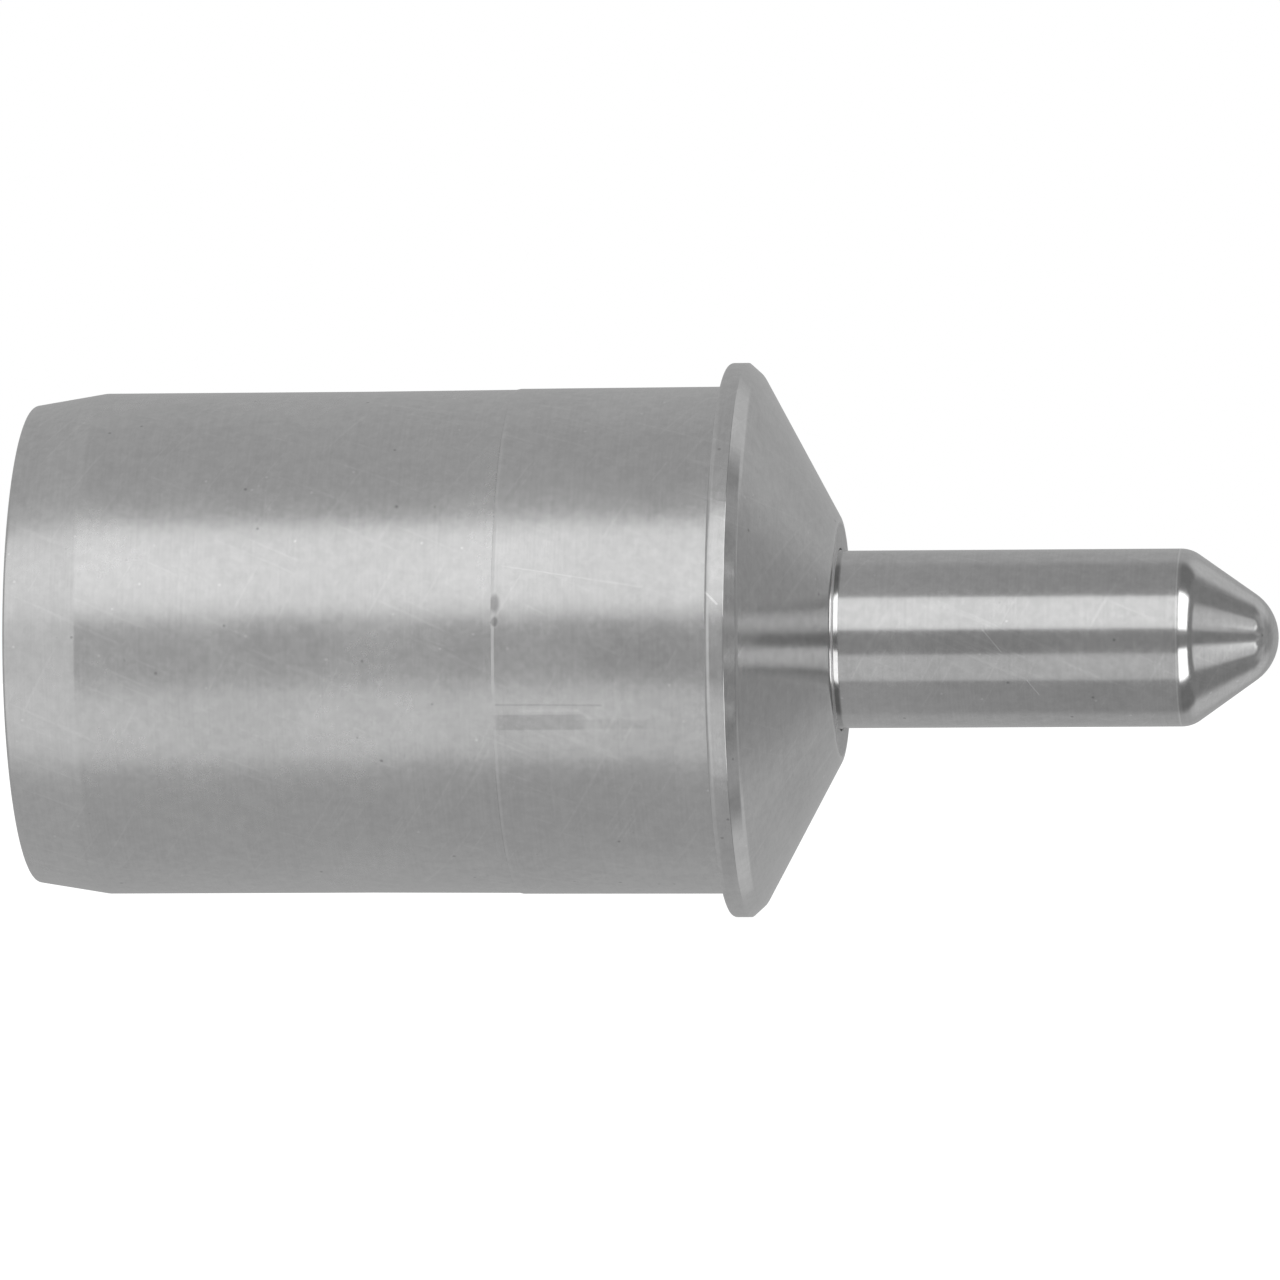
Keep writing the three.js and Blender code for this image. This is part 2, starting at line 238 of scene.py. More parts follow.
# ---- Node graphs ----
class Graph:
    """A node tree built by short calls. A value is a number, a colour, or another node's output."""

    def __init__(self, tree):
        self.tree = tree
        tree.nodes.clear()

    def node(self, kind, inputs=None, **settings):
        """A node with its settings, and with each named input linked or set."""
        made = self.tree.nodes.new(kind)
        for name, value in settings.items():
            setattr(made, name, value)
        for name, value in (inputs or {}).items():
            if isinstance(value, bpy.types.NodeSocket):
                self.tree.links.new(value, made.inputs[name])
            else:
                made.inputs[name].default_value = value
        return made

    def math(self, operation, *values, clamp=False):
        made = self.node("ShaderNodeMath", dict(enumerate(values)), operation=operation, use_clamp=clamp)
        return made.outputs[0]

    def add(self, one, two):
        return self.math("ADD", one, two)

    def subtract(self, one, two):
        return self.math("SUBTRACT", one, two)

    def times(self, one, two):
        return self.math("MULTIPLY", one, two)

    def step(self, value, low, high, start=0.0, end=1.0):
        """Rises smoothly from start to end as value goes from low to high."""
        inputs = {"Value": value, "From Min": low, "From Max": high, "To Min": start, "To Max": end}
        made = self.node("ShaderNodeMapRange", inputs, interpolation_type="SMOOTHSTEP")
        return made.outputs["Result"]

    def band(self, value, low, high, soft):
        """1 between low and high, 0 outside them, with soft edges."""
        rise = self.step(value, low - soft, low + soft)
        fall = self.step(value, high - soft, high + soft, 1.0, 0.0)
        return self.times(rise, fall)

    def vector(self, x, y, z):
        return self.node("ShaderNodeCombineXYZ", {"X": x, "Y": y, "Z": z}).outputs[0]

    def noise(self, vector, scale, detail=2.0, roughness=0.5):
        inputs = {"Vector": vector, "Scale": scale, "Detail": detail, "Roughness": roughness}
        return self.node("ShaderNodeTexNoise", inputs).outputs["Fac"]

    def mix(self, factor, one, two):
        """A colour from one to two as factor goes from 0 to 1."""
        made = self.node("ShaderNodeMix", data_type="RGBA")
        for index, value in ((0, factor), (6, one), (7, two)):
            if isinstance(value, bpy.types.NodeSocket):
                self.tree.links.new(value, made.inputs[index])
            else:
                made.inputs[index].default_value = value
        return made.outputs[2]


def grey(value):
    """An opaque neutral colour."""
    return (value, value, value, 1.0)


class Surface(Graph):
    """The graph of a material, with the coordinates that turned surfaces need, in millimetres."""

    def __init__(self, name):
        self.material = bpy.data.materials.new(name)
        self.material.use_nodes = True
        super().__init__(self.material.node_tree)
        place = self.node("ShaderNodeTexCoord").outputs["Object"]
        per_metre = (1 / MM, 1 / MM, 1 / MM)
        scaled = self.node("ShaderNodeVectorMath", {0: place, 1: per_metre}, operation="MULTIPLY")
        self.place = scaled.outputs[0]
        split = self.node("ShaderNodeSeparateXYZ", {0: self.place})
        self.x, self.y, self.z = split.outputs
        self.radius = self.math("SQRT", self.add(self.square(self.y), self.square(self.z)))
        self.turn = self.math("ARCTAN2", self.z, self.times(self.y, -1))

    def square(self, value):
        return self.times(value, value)

    def lines(self, per_mm, length, detail=3.0):
        """Fine lines that run round the axis, of about the given length in millimetres."""
        along = self.times(self.subtract(self.x, self.radius), per_mm)
        across = [self.math("DIVIDE", value, length) for value in (self.y, self.z)]
        return self.noise(self.vector(along, *across), 1.0, detail, 0.6)

    def scratches(self, angle, seed, share, length=9.0, width=0.3):
        """Thin straight scratches on the unrolled surface, at an angle to the axis."""
        around = self.times(self.turn, self.radius)
        sine, cosine = math.sin(math.radians(angle)), math.cos(math.radians(angle))
        along = self.add(self.times(self.x, cosine), self.times(around, sine))
        across = self.subtract(self.times(around, cosine), self.times(self.x, sine))
        place = self.vector(self.math("DIVIDE", along, length), self.math("DIVIDE", across, width), seed)
        threshold = 1 - share
        softness = 0.05
        return self.step(self.noise(place, 1.0, 1.0), threshold, threshold + softness)

    def specks(self, per_mm, share, seed):
        """Small round marks, on about that share of the cells."""
        offset = (seed, seed, seed)
        moved = self.node("ShaderNodeVectorMath", {0: self.place, 1: offset}, operation="ADD")
        cells = self.node("ShaderNodeTexVoronoi", {"Vector": moved.outputs[0], "Scale": per_mm})
        chosen = self.node("ShaderNodeSeparateColor", {0: cells.outputs["Color"]}).outputs[0]
        picked = self.math("LESS_THAN", chosen, share)
        return self.times(picked, self.step(cells.outputs["Distance"], 0.12, 0.3, 1.0, 0.0))

    def spot(self, x, turn, reach_x, reach_turn, radius):
        """1 at a place on the surface, falling to 0 at an oval round it. turn is in degrees above -Y."""
        across = self.times(self.subtract(self.turn, math.radians(turn)), radius)
        along = self.subtract(self.x, x)
        size = self.add(
            self.square(self.math("DIVIDE", along, reach_x)),
            self.square(self.math("DIVIDE", across, reach_turn)),
        )
        return self.step(self.math("SQRT", size), 0.4, 1.0, 1.0, 0.0)

    def stroke(self, start, end, width, radius):
        """1 on a thin straight line between two places, each (x, turn in degrees above -Y)."""
        ends = [Vector((x, math.radians(turn) * radius)) for x, turn in (start, end)]
        run = ends[1] - ends[0]
        place = (self.x, self.times(self.turn, radius))
        away = [self.subtract(value, origin) for value, origin in zip(place, ends[0])]
        share = self.math(
            "MULTIPLY_ADD",
            away[0],
            run.x / run.length_squared,
            self.times(away[1], run.y / run.length_squared),
            clamp=True,
        )
        gap = []
        for value, part in zip(away, run):
            gap.append(self.square(self.math("MULTIPLY_ADD", share, -part, value)))
        distance = self.math("SQRT", self.add(*gap))
        return self.step(distance, 0.3 * width, width, 1.0, 0.0)

    def finish(self, colour, roughness, height, depth, metallic=1.0):
        """Ends the graph in a shader. depth is the bump's depth in millimetres."""
        bump = self.node("ShaderNodeBump", {"Height": height, "Strength": 1.0, "Distance": depth * MM})
        inputs = {
            "Base Color": colour,
            "Roughness": roughness,
            "Metallic": metallic,
            "Normal": bump.outputs[0],
        }
        shader = self.node("ShaderNodeBsdfPrincipled", inputs)
        self.node("ShaderNodeOutputMaterial", {"Surface": shader.outputs[0]})
        return self.material


def ground_steel(name, albedo, roughness, line_depth, marks=()):
    """Steel ground round the axis, with handling marks. marks are functions of the surface."""
    surface = Surface(name)
    fine = surface.lines(8, 5)
    broad = surface.lines(2.5, 14)
    grain = surface.noise(surface.place, 2.0, 2.0, 0.6)
    mottle = surface.noise(surface.place, 1.1, 4.0, 0.65)
    cloud = surface.noise(surface.place, 0.12, 2.0)
    steep = surface.scratches(62, 3.1, 0.34)
    shallow = surface.scratches(-24, 7.7, 0.33)
    scratch = surface.math("MAXIMUM", steep, shallow)
    dark = surface.specks(2.1, 0.012, 4.2)
    light = surface.specks(2.4, 0.012, 9.4)
    value = albedo
    # Each texture, where it starts and ends, and how far it moves the albedo either way.
    shades = (
        (mottle, 0.3, 0.7, 0.025),
        (grain, 0.25, 0.75, 0.022),
        (cloud, 0.35, 0.65, 0.02),
        (fine, 0.3, 0.7, 0.015),
    )
    for texture, low, high, amount in shades:
        value = surface.add(value, surface.step(texture, low, high, -amount, amount))
    for mark, amount in ((scratch, 0.03), (light, 0.12), (dark, -0.2)):
        value = surface.add(value, surface.times(mark, amount))
    rough = surface.add(roughness, surface.step(cloud, 0.35, 0.65, -0.015, 0.02))
    rough = surface.add(rough, surface.step(grain, 0.3, 0.7, -0.01, 0.01))
    height = surface.add(surface.times(fine, 0.5), surface.times(broad, 0.5))
    height = surface.subtract(height, surface.times(scratch, 0.12))
    height = surface.subtract(height, dark)
    for add_mark in marks:
        value, rough, height = add_mark(surface, value, rough, height)
    colour = surface.node("ShaderNodeCombineColor", {0: value, 1: value, 2: value}).outputs[0]
    return surface.finish(colour, rough, height, line_depth)


# ---- World, camera and floor ----
ROOM_LIGHT = 0.42
# What the studio adds to the room's light, or takes from it. Each row is a patch of the surroundings:
# roll from and to, across from and to, light, softness of roll and of across. Angles are in degrees.
STUDIO = [
    # Dark room behind the camera, and dark cloth towards the workpiece.
    (-58, 58, -7.1, -4.6, -0.22, 7, 1.6),
    (-115, 115, -3.5, 95, -0.19, 8, 2.5),
    (118, 200, 52, 95, -0.13, 8, 10),
    (-200, -118, 52, 95, -0.13, 8, 10),
    (-180, 180, 72, 95, 0.03, 8, 3),
    (86, 125, 54, 74, 0.13, 8, 3),
    (-125, -86, 54, 74, 0.13, 8, 3),
    (66, 116, 5, 37, -0.05, 3, 1.5),
    (-116, -66, 5, 37, -0.05, 3, 1.5),
    # Pale walls towards the rear and behind the object.
    (-62, 62, -60, -12, 0.20, 12, 3),
    (116, 150, 18, 60, 0.13, 8, 8),
    (-150, -116, 18, 60, 0.13, 8, 8),
    # Upper soft box.
    (12, 56, -60, -13, 0.19, 3, 2),
    (12, 56, -12.5, 2, 0.52, 1.5, 2),
    (12, 56, -5, 2, 0.12, 1.5, 0.8),
    (11, 62, 5, 37, 1.9, 1.5, 1.5),
    (17, 75, 56, 67, 0.35, 2, 1.5),
    (17, 31, 71, 84, 0.2, 2, 2),
    (35, 64, 66.5, 70, 1.2, 2, 0.8),
    # Lower soft box.
    (-56, -20, -60, -13, 0.06, 3, 2),
    (-56, -20, -12.5, 2, 0.26, 1.5, 2),
    (-59, -15, 5, 37, 1.7, 1.5, 1.5),
    (-72, -17, 56, 67, 0.42, 2, 1.5),
    (-27, -12, 71, 84, 0.2, 2, 2),
    (-64, -25, 66.5, 70, 1.2, 2, 0.8),
]


def make_world():
    """A studio with a long soft box above the object's axis and another below it.

    across is the angle out of the plane square to the axis, towards +X, and roll is the angle
    round the axis, from -Y upwards. The camera itself sees a white background.
    """
    world = bpy.data.worlds.new("studio")
    bpy.context.scene.world = world
    world.use_nodes = True
    graph = Graph(world.node_tree)
    direction = graph.node("ShaderNodeTexCoord").outputs["Generated"]
    x, y, z = graph.node("ShaderNodeSeparateXYZ", {0: direction}).outputs
    across = graph.math("DEGREES", graph.math("ARCSINE", x))
    roll = graph.math("DEGREES", graph.math("ARCTAN2", z, graph.times(y, -1)))
    light = ROOM_LIGHT
    for roll_from, roll_to, across_from, across_to, level, roll_soft, across_soft in STUDIO:
        inside = graph.times(
            graph.band(roll, roll_from, roll_to, roll_soft),
            graph.band(across, across_from, across_to, across_soft),
        )
        light = graph.math("MULTIPLY_ADD", inside, level, light)
    studio = graph.node("ShaderNodeBackground", {"Color": grey(1.0), "Strength": light}).outputs[0]
    white = graph.node("ShaderNodeBackground", {"Color": grey(1.0), "Strength": 1.0}).outputs[0]
    seen = graph.node("ShaderNodeLightPath").outputs["Is Camera Ray"]
    both = graph.node("ShaderNodeMixShader", {0: seen, 1: studio, 2: white}).outputs[0]
    graph.node("ShaderNodeOutputWorld", {"Surface": both})


CAMERA_AZIMUTH = math.radians(6.2)  # from -Y towards the workpiece
CAMERA_ROLL = math.radians(-0.33)
CAMERA_DISTANCE = 843 * MM
CAMERA_TARGET = Vector((-5.8, 0, 0.04)) * MM
CAMERA_LENS = 378.3  # focal length in mm, with a sensor 36 mm wide


def make_camera():
    """A long lens square to the axis, a little towards the workpiece."""
    data = bpy.data.cameras.new("camera")
    data.sensor_width = 36.0
    data.lens = CAMERA_LENS
    data.clip_start = 0.01
    data.clip_end = 20.0
    camera = bpy.data.objects.new("camera", data)
    bpy.context.scene.collection.objects.link(camera)
    bpy.context.scene.camera = camera
    back = Vector((math.sin(CAMERA_AZIMUTH), -math.cos(CAMERA_AZIMUTH), 0))
    aim = (-back).to_track_quat("-Z", "Y").to_matrix().to_4x4()
    camera.location = CAMERA_TARGET + back * CAMERA_DISTANCE
    camera.rotation_mode = "QUATERNION"
    camera.rotation_quaternion = (aim @ Matrix.Rotation(CAMERA_ROLL, 4, "Z")).to_quaternion()


FLOOR_HALF_WIDTH = 5.0  # metres
FLOOR_GLOW = 0.94
FLOOR_ALBEDO = 0.3
FLOOR_GAP = 0.2 * MM  # below the flange


def make_floor():
    """A white floor under the flange. Only the camera sees it, so it throws no light on the steel."""
    bm = bmesh.new()
    bmesh.ops.create_grid(bm, x_segments=1, y_segments=1, size=FLOOR_HALF_WIDTH)
    material = bpy.data.materials.new("floor")
    material.use_nodes = True
    graph = Graph(material.node_tree)
    glow = graph.node("ShaderNodeEmission", {"Color": grey(1.0), "Strength": FLOOR_GLOW}).outputs[0]
    matt = graph.node("ShaderNodeBsdfDiffuse", {"Color": grey(FLOOR_ALBEDO)}).outputs[0]
    both = graph.node("ShaderNodeAddShader", {0: glow, 1: matt}).outputs[0]
    graph.node("ShaderNodeOutputMaterial", {"Surface": both})
    floor = to_object("floor", bm, material)
    floor.location.z = CAD_BOX[0].z - FLOOR_GAP
    floor.visible_glossy = False
    floor.visible_diffuse = False


bpy.context.scene.view_settings.view_transform = "Standard"
make_world()
make_camera()
make_floor()


# ---- Materials ----
def blend_in(surface, value, mask, amount):
    """Adds amount to a value where the mask is 1."""
    return surface.math("MULTIPLY_ADD", mask, amount, value)


# Marks on the -Y side of the nose body. Places are x in millimetres and a turn in degrees above -Y.
STAKES = [(-13.1, 8.4, 0.4, 0.8), (-13.1, 4.3, 0.3, 0.4)]  # x, turn, reach along x and round
RUBBED_STRIPS = [  # turn from and to, softness, x from and to, softness, change of albedo
    (-20.2, -16.6, 0.25, -13.2, -7.8, 0.5, -0.11),
    (-20.0, -17.8, 0.4, -8, -3.8, 1.4, -0.06),
]
NOSE_LINES = [  # start, end, width, change of albedo
    ((-13.1, -14.3), (-6.6, -14.5), 0.1, -0.09),
    ((-11.6, -15.6), (-8.1, -15.6), 0.16, 0.05),
    ((-8.1, -15.6), (-7.2, -17.6), 0.16, 0.05),
    ((-12.7, 17.1), (-4, 12), 0.05, 0.06),
    ((0.1, 9.8), (0.8, 7.4), 0.1, 0.2),
]
# Scratches on the point, as start and end.
POINT_LINES = [((16.2, 5.6), (17.3, -8.1)), ((18.9, -27.9), (19.6, -39))]


def nose_marks(surface, value, rough, height):
    """A stake at the joint line, a rubbed strip, thin lines, a dull front face and a finer cone."""
    radius = BARREL_RADIUS
    turn = surface.math("DEGREES", surface.turn)
    for turn_start, turn_end, turn_soft, x_from, x_to, x_soft, amount in RUBBED_STRIPS:
        strip = surface.times(
            surface.band(turn, turn_start, turn_end, turn_soft),
            surface.band(surface.x, x_from, x_to, x_soft),
        )
        value = blend_in(surface, value, strip, amount)
    for start, end, width, amount in NOSE_LINES:
        value = blend_in(surface, value, surface.stroke(start, end, width, radius), amount)
    stake = surface.math("MAXIMUM", *[surface.spot(*place, radius) for place in STAKES])
    value = blend_in(surface, value, stake, -0.27)
    height = blend_in(surface, height, stake, -8)
    # The flat face round the spindle is duller, and the flange's rim and the cone are finer.
    face = surface.times(
        surface.step(surface.radius, 7.2, 7.4, 1, 0),
        surface.step(surface.x, 6.2, 6.5),
    )
    rough = blend_in(surface, rough, face, 0.4)
    rough = blend_in(surface, rough, surface.step(surface.x, 1.1, 1.2), -0.1)
    return value, rough, height


def point_scratches_and_painted_light(surface, value, rough, height):
    """Two scratches, a painted highlight along the edge where the cylinder starts to round into the
    shoulder, and painted shade at the root, where the point leaves the nose.
    """
    for start, end in POINT_LINES:
        value = blend_in(surface, value, surface.stroke(start, end, 0.06, POINT_RADIUS), 0.16)
    # Painted highlight: a lighter line along the edge where the cylinder starts to round into the
    # shoulder.
    value = blend_in(surface, value, surface.band(surface.x, 28.16, 28.26, 0.04), 0.14)
    # Painted shade: darker where the point leaves the nose, in the corner between the two.
    value = blend_in(surface, value, surface.step(surface.x, 7.05, 7.2, 1, 0), -0.22)
    return value, rough, height


# Name, then albedo, roughness and depth of the grinding lines in millimetres.
front_steel = ground_steel("front_steel", 0.72, 0.24, 0.0006, marks=[nose_marks])
sleeve_steel = ground_steel("sleeve_steel", 0.73, 0.25, 0.0004)
point_steel = ground_steel("point_steel", 0.70, 0.15, 0.0004, marks=[point_scratches_and_painted_light])
bearing_steel = ground_steel("bearing_steel", 0.72, 0.1, 0.0003)
dark_steel = ground_steel("dark_steel", 0.16, 0.42, 0.003)
spring_steel = ground_steel("spring_steel", 0.35, 0.3, 0.002)


def make_brass():
    """Machined brass, slightly tarnished."""
    surface = Surface("brass")
    fine = surface.lines(18, 4)
    stain = surface.noise(surface.place, 0.5, 4.0)
    colour = surface.mix(surface.step(stain, 0.4, 0.65), (0.60, 0.39, 0.13, 1), (0.42, 0.25, 0.08, 1))
    rough = surface.step(stain, 0.35, 0.65, 0.26, 0.42)
    return surface.finish(colour, rough, fine, 0.002)


def make_rubber():
    """Moulded rubber with fine pores."""
    surface = Surface("rubber")
    pores = surface.noise(surface.place, 14, 3.0)
    worn = surface.noise(surface.place, 1.2, 3.0)
    colour = surface.mix(surface.step(worn, 0.35, 0.65), grey(0.012), grey(0.028))
    rough = surface.step(pores, 0.3, 0.7, 0.55, 0.75)
    return surface.finish(colour, rough, pores, 0.006, metallic=0.0)


brass = make_brass()
rubber = make_rubber()


# ---- Housing ----
def make_nose_body():
    """Front of the casing: spigot, ground band, flange, nose cone, seal pocket and bearing bore."""
    rear, front, flange = extent("nose_body")
    joint = extent("rear_sleeve")[1] + 0.005
    joint_run, joint_drop = 0.2, 0.08  # shallow chamfer at the joint
    seal_rear, seal_front, seal_radius = 3.1, 5.5, 8.0
    bearing_bore = extent("needle_bearing_shell")[2] + FIT
    quill_stop = extent("quill")[1] + 0.1
    lip = NECK_RADIUS + FIT
    rim_width, lead_slope, cone_slope = 1.2, math.tan(math.radians(42)), math.tan(NOSE_CONE_ANGLE)
    cone_height = NOSE_FACE_RADIUS + front * cone_slope - flange  # of the cone above the rim, at x = 0
    lead_x = (cone_height - rim_width * lead_slope) / (cone_slope - lead_slope)
    corners = [
        (rear, BORE_RADIUS, EDGE),
        (rear, SPIGOT_RADIUS, 0.25),
        (joint, SPIGOT_RADIUS, EDGE),
        (joint, BARREL_RADIUS - joint_drop, 0.01),
        (joint + joint_run, BARREL_RADIUS - joint_drop / 2, 0.05),
        (0, BARREL_RADIUS, 0.1),
        (0, flange, 0.3),
        (rim_width, flange, 0.04),
        (lead_x, flange - (lead_x - rim_width) * lead_slope, 1.0),
        (front, NOSE_FACE_RADIUS, 0.9),
        (front, lip, 0.05),
        (seal_front, lip, 0.05),
        (seal_front, seal_radius, 0.05),
        (seal_rear, seal_radius, 0.05),
        (seal_rear, bearing_bore, EDGE),
        (quill_stop, bearing_bore, EDGE),
        (quill_stop, BORE_RADIUS, EDGE),
    ]
    piece = turned("nose_body_fine", rounded(corners), front_steel, SEGMENTS)
    stand_for(piece, "housing", "ground_steel", "nose_body")


def make_rear_sleeve():
    """Rear of the casing: a slightly smaller barrel that tapers over its last millimetres."""
    rear, joint, radius = extent("rear_sleeve")
    plug_front = extent("adjusting_plug")[1]
    spigot_rear = extent("nose_body")[0]
    thread_radius = 13.0
    taper_x = -39.35
    end_radius = 14.98
    waist_radius = radius - 0.02
    spigot_gap, thread_runout = 0.2, 0.4
    corners = [
        (rear, thread_radius, 0.3),
        (rear, end_radius, 0.25),
        (taper_x, waist_radius, 1.5),
        (spigot_rear, waist_radius, 0),
        (joint, radius + 0.03, 0.01),
        (joint, SPIGOT_RADIUS + FIT, EDGE),
        (spigot_rear - spigot_gap, SPIGOT_RADIUS + FIT, EDGE),
        (spigot_rear - spigot_gap, BORE_RADIUS + FIT, EDGE),
        (plug_front + thread_runout, BORE_RADIUS + FIT, EDGE),
        (plug_front + thread_runout, thread_radius, EDGE),
    ]
    piece = turned("rear_sleeve_fine", rounded(corners), sleeve_steel, SEGMENTS)
    stand_for(piece, "housing", "ground_steel", "rear_sleeve")


def make_adjusting_plug():
    """Plug that sets the spring's preload, with a centre hole and two holes for a pin spanner."""
    rear, front, radius = extent("adjusting_plug")
    centre_radius, centre_depth = 2.0, 1.4
    hole_radius, hole_pitch, hole_depth, drill_tip = 1.5, 4.2, 2.0, 0.6
    corners = [
        (rear + centre_depth, 0, 0),
        (rear, centre_radius, EDGE),
        (rear, hole_pitch - hole_radius - CUT_MARGIN, 0),
        (rear, hole_pitch + hole_radius + CUT_MARGIN, 0),
        (rear, radius, 0.3),
        (front, radius, EDGE),
        (front, 0, 0),
    ]
    piece = turned("adjusting_plug_fine", rounded(corners, closed=False), dark_steel, closed=False)

    def drill(turn):
        end = rear + hole_depth
        section = [(rear - 1, 0), (rear - 1, hole_radius), (end, hole_radius), (end + drill_tip, 0)]
        hole = turned("drill", section, dark_steel, 48, False)
        hole.matrix_world = turn @ Matrix.Translation((0, 0, hole_pitch * MM))
        return hole

    cut(piece, around_axis(2, drill))
    stand_for(piece, "housing", "dark_steel", "adjusting_plug")


def make_box(name, low, high):
    """A box between two corners, in millimetres, used as a cutter."""
    bm = bmesh.new()
    bmesh.ops.create_cube(bm, size=1.0)
    for vert in bm.verts:
        ends = zip(vert.co, low, high)
        vert.co = Vector([(a if side < 0 else b) * MM for side, a, b in ends])
    return to_object(name, bm, dark_steel)


def make_lock_ring():
    """Ring that locks the plug, with four spanner slots."""
    rear, front, radius = extent("lock_ring")
    hole_radius = 6.2
    slot_width, slot_length, slot_depth = 3.0, 2.5, 1.2
    corners = ring_corners(rear, front, hole_radius, radius, 0.2)
    corners.insert(1, (rear, radius - slot_length - CUT_MARGIN, 0))
    piece = turned("lock_ring_fine", rounded(corners), dark_steel)

    def slot(turn):
        low = (rear - 1, -slot_width / 2, radius - slot_length)
        high = (rear + slot_depth, slot_width / 2, radius + 1)
        box = make_box("slot", low, high)
        box.matrix_world = turn
        return box

    cut(piece, around_axis(4, slot))
    stand_for(piece, "housing", "dark_steel", "lock_ring")


def make_wiper_seal():
    """Rubber seal with a thin lip on the spindle."""
    rear, front, radius = extent("wiper_seal")
    lip = JOURNAL_RADIUS + 0.08
    lip_depth = 0.5
    corners = [
        (rear, lip + lip_depth, 0.1),
        (rear, radius, 0.15),
        (front, radius, 0.15),
        (front, lip + 0.1, 0.05),
        (front - 0.6, lip, 0.08),
        (front - 1.1, lip + lip_depth, 0.2),
    ]
    piece = turned("wiper_seal_fine", rounded(corners), rubber)
    stand_for(piece, "housing", "rubber", "wiper_seal")


# ---- Needle bearing ----
NEEDLE_RADIUS = 1.0
NEEDLE_PITCH = 7.06
NEEDLE_COUNT = 12


def needle_section(clearance=0.0):
    """Half section of a needle with domed ends, about its own axis."""
    rear, front, _ = extent("needle_1")
    radius = NEEDLE_RADIUS + clearance
    dome = 0.25
    corners = [
        (rear - clearance, 0, 0),
        (rear - clearance, radius, dome),
        (front + clearance, radius, dome),
        (front + clearance, 0, 0),
    ]
    return rounded(corners, closed=False)


def make_needle_bearing():
    """Drawn shell, cage and needles."""
    rear, front, outer = extent("needle_bearing_shell")
    wall, lip = 0.8, 6.6
    cage_inner, pocket_gap = 6.5, 0.1
    corners = [
        (rear, lip, 0.2),
        (rear, outer, 0.5),
        (front, outer, 0.5),
        (front, lip, 0.2),
        (front - wall, lip, 0.1),
        (front - wall, outer - wall, 0.1),
        (rear + wall, outer - wall, 0.1),
        (rear + wall, lip, 0.1),
    ]
    shell = turned("needle_bearing_shell_fine", rounded(corners), bearing_steel)
    stand_for(shell, "housing", "bearing_steel", "needle_bearing_shell")
    rear, front, outer = extent("needle_bearing_cage")
    section = rounded(ring_corners(rear, front, cage_inner, outer))
    cage = turned("needle_bearing_cage_fine", section, spring_steel)

    def roller(name, turn, clearance=0.0):
        piece = turned(name, needle_section(clearance), bearing_steel, 32, False)
        piece.data.transform(turn @ Matrix.Translation((0, 0, NEEDLE_PITCH * MM)))
        return piece

    cut(cage, around_axis(NEEDLE_COUNT, lambda turn: roller("pocket", turn, pocket_gap)))
    stand_for(cage, "needle_set", "spring_steel", "needle_bearing_cage")
    for number in range(1, NEEDLE_COUNT + 1):
        node = f"needle_{number}"
        piece = roller(f"{node}_fine", turn_to(node))
        stand_for(piece, "needle_set", "bearing_steel", node)


# ---- Quill and its bearings ----
BALL_PITCH = 6.0
BALL_RADIUS = 1.16
RACE_RADIUS = 1.25
BALL_COUNT = 8


def make_quill():
    """Sliding sleeve that holds the rear bearings and takes the spring's push."""
    rear, front, flange = extent("quill")
    body, bore, tail_hole, wall, collar = 9.6, 8.0, 5.0, 2.5, 3.0
    groove_rear, groove_front, groove = -11.2, -10.3, 8.5
    corners = [
        (rear, tail_hole, 0.2),
        (rear, body, 0.4),
        (front - collar, body, 0.2),
        (front - collar, flange, 0.3),
        (front, flange, 0.3),
        (front, bore, 0.2),
        (groove_front, bore, 0.05),
        (groove_front, groove, 0.05),
        (groove_rear, groove, 0.05),
        (groove_rear, bore, 0.05),
        (rear + wall, bore, 0.1),
        (rear + wall, tail_hole, 0.2),
    ]
    piece = turned("quill_fine", rounded(corners), dark_steel)
    stand_for(piece, "quill", "dark_steel", "quill")


def make_retaining_ring(node, body, inner, lug_inner):
    """A flat ring open on one side, with a wider lug at each end."""
    rear, front, _ = extent(node)
    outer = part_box(node)[1].y / MM
    gap, lug = 0.28, 0.62  # angles from -Z to the ring's end and to the end of its lug, in radians
    steps = 96
    bm = bmesh.new()
    columns = []
    for k in range(steps + 1):
        angle = gap + (2 * math.pi - 2 * gap) * k / steps
        away = min(angle, 2 * math.pi - angle)
        inside = lug_inner if away < lug else inner
        column = []
        for radius, x in ((inside, rear), (outer, rear), (outer, front), (inside, front)):
            place = (x * MM, radius * math.sin(angle) * MM, -radius * math.cos(angle) * MM)
            column.append(bm.verts.new(place))
        columns.append(column)
    for one, two in zip(columns, columns[1:]):
        for k in range(4):
            follow = (k + 1) % 4
            bm.faces.new((one[k], one[follow], two[follow], two[k]))
    bm.faces.new(columns[0])
    bm.faces.new(columns[-1])
    piece = to_object(f"{node}_fine", bm, spring_steel)
    cut(piece, [], 0.08)
    stand_for(piece, body, "spring_steel", node)


def race(x, radius, open_from, open_to):
    """Points of a ball groove about (x, radius), between two angles in degrees."""
    return arc(x, radius, RACE_RADIUS, open_from, open_to, 16)


